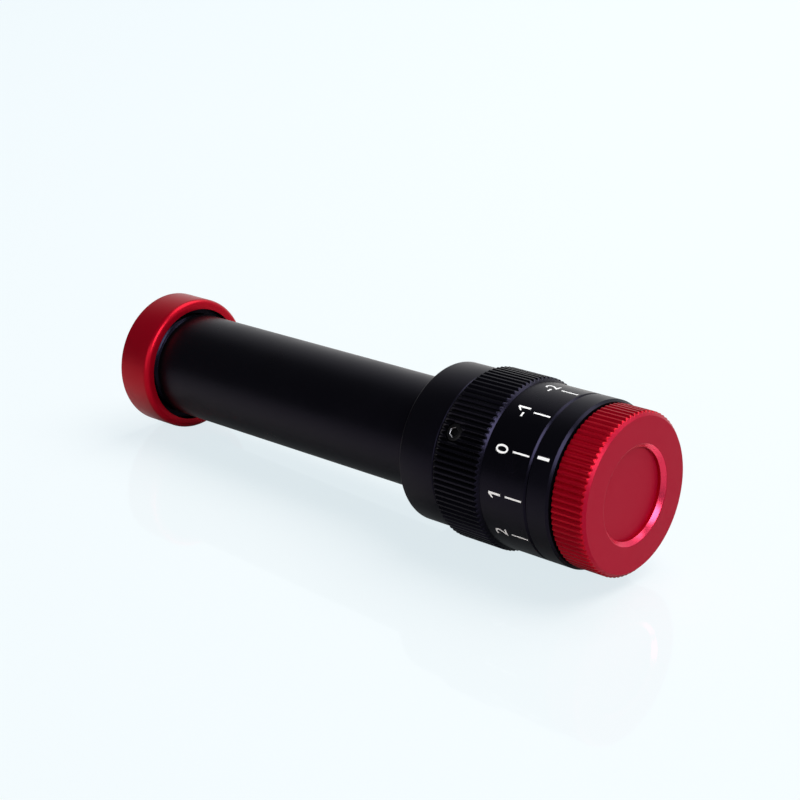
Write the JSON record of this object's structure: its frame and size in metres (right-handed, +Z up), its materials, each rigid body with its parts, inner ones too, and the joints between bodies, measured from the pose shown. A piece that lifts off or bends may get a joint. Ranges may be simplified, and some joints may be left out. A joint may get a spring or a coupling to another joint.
{
  "type": "laser beam shaper",
  "caption": "Cylindrical beam shaper: long black tube, knurled adjusting ring with a white scale, fixed index ring, and a red screw-on dust cap on each end.",
  "frame": {"origin": "centre of the tube's input face, on the optical axis", "axes": "+X along the optical axis from input to output, +Z up as the picture shows it lying, +Y away from the side that the picture shows"},
  "size_m": [0.1593, 0.042, 0.042],
  "materials": {
    "black_anodised": "satin black anodised",
    "black_knurled": "black anodised straight knurl",
    "black_inner": "matt black anodised",
    "red_anodised": "red anodised",
    "dark_steel": "black oxide",
    "washer_plastic": "matt",
    "lens_glass": "polished and coated"
  },
  "bodies": {
    "housing": {"main_tube": "black_anodised", "head_body": "black_anodised", "output_housing": "black_anodised", "washer_rear": "washer_plastic", "washer_front": "washer_plastic", "glare_stop": "black_inner", "input_cell": "black_inner", "input_lens_outer": "lens_glass", "input_spacer": "black_inner", "input_lens_inner": "lens_glass", "input_retainer": "black_inner", "input_lock_ring": "black_inner"},
    "ring": {"adjusting_ring": "black_knurled", "drive_screw": "dark_steel"},
    "carriage": {"lens_cell": "black_inner", "output_lens_inner": "lens_glass", "output_spacer": "black_inner", "output_lens_outer": "lens_glass", "output_retainer": "black_inner"},
    "front_dust_cap": {"front_cap": "red_anodised"},
    "rear_dust_cap": {"rear_cap": "red_anodised"}
  },
  "joints": [
    {"name": "ring_turn", "type": "hinge", "parent": "housing", "child": "ring", "pos_m": [0.1278, 0, 0], "axis": [-1, 0, 0], "range_deg": [-60, 60]},
    {"name": "cell_slide", "type": "slide", "parent": "ring", "child": "carriage", "axis": [1, 0, 0], "range_m": [-0.00101, 0.00101]},
    {"name": "front_cap_off", "type": "slide", "parent": "housing", "child": "front_dust_cap", "axis": [1, 0, 0], "range_m": [0, 0.06]},
    {"name": "rear_cap_off", "type": "slide", "parent": "housing", "child": "rear_dust_cap", "axis": [-1, 0, 0], "range_m": [0, 0.06]}
  ],
  "couplings": [
    {"joint": "cell_slide", "follows": "ring_turn", "m_per_rad": 0.00095493}
  ]
}
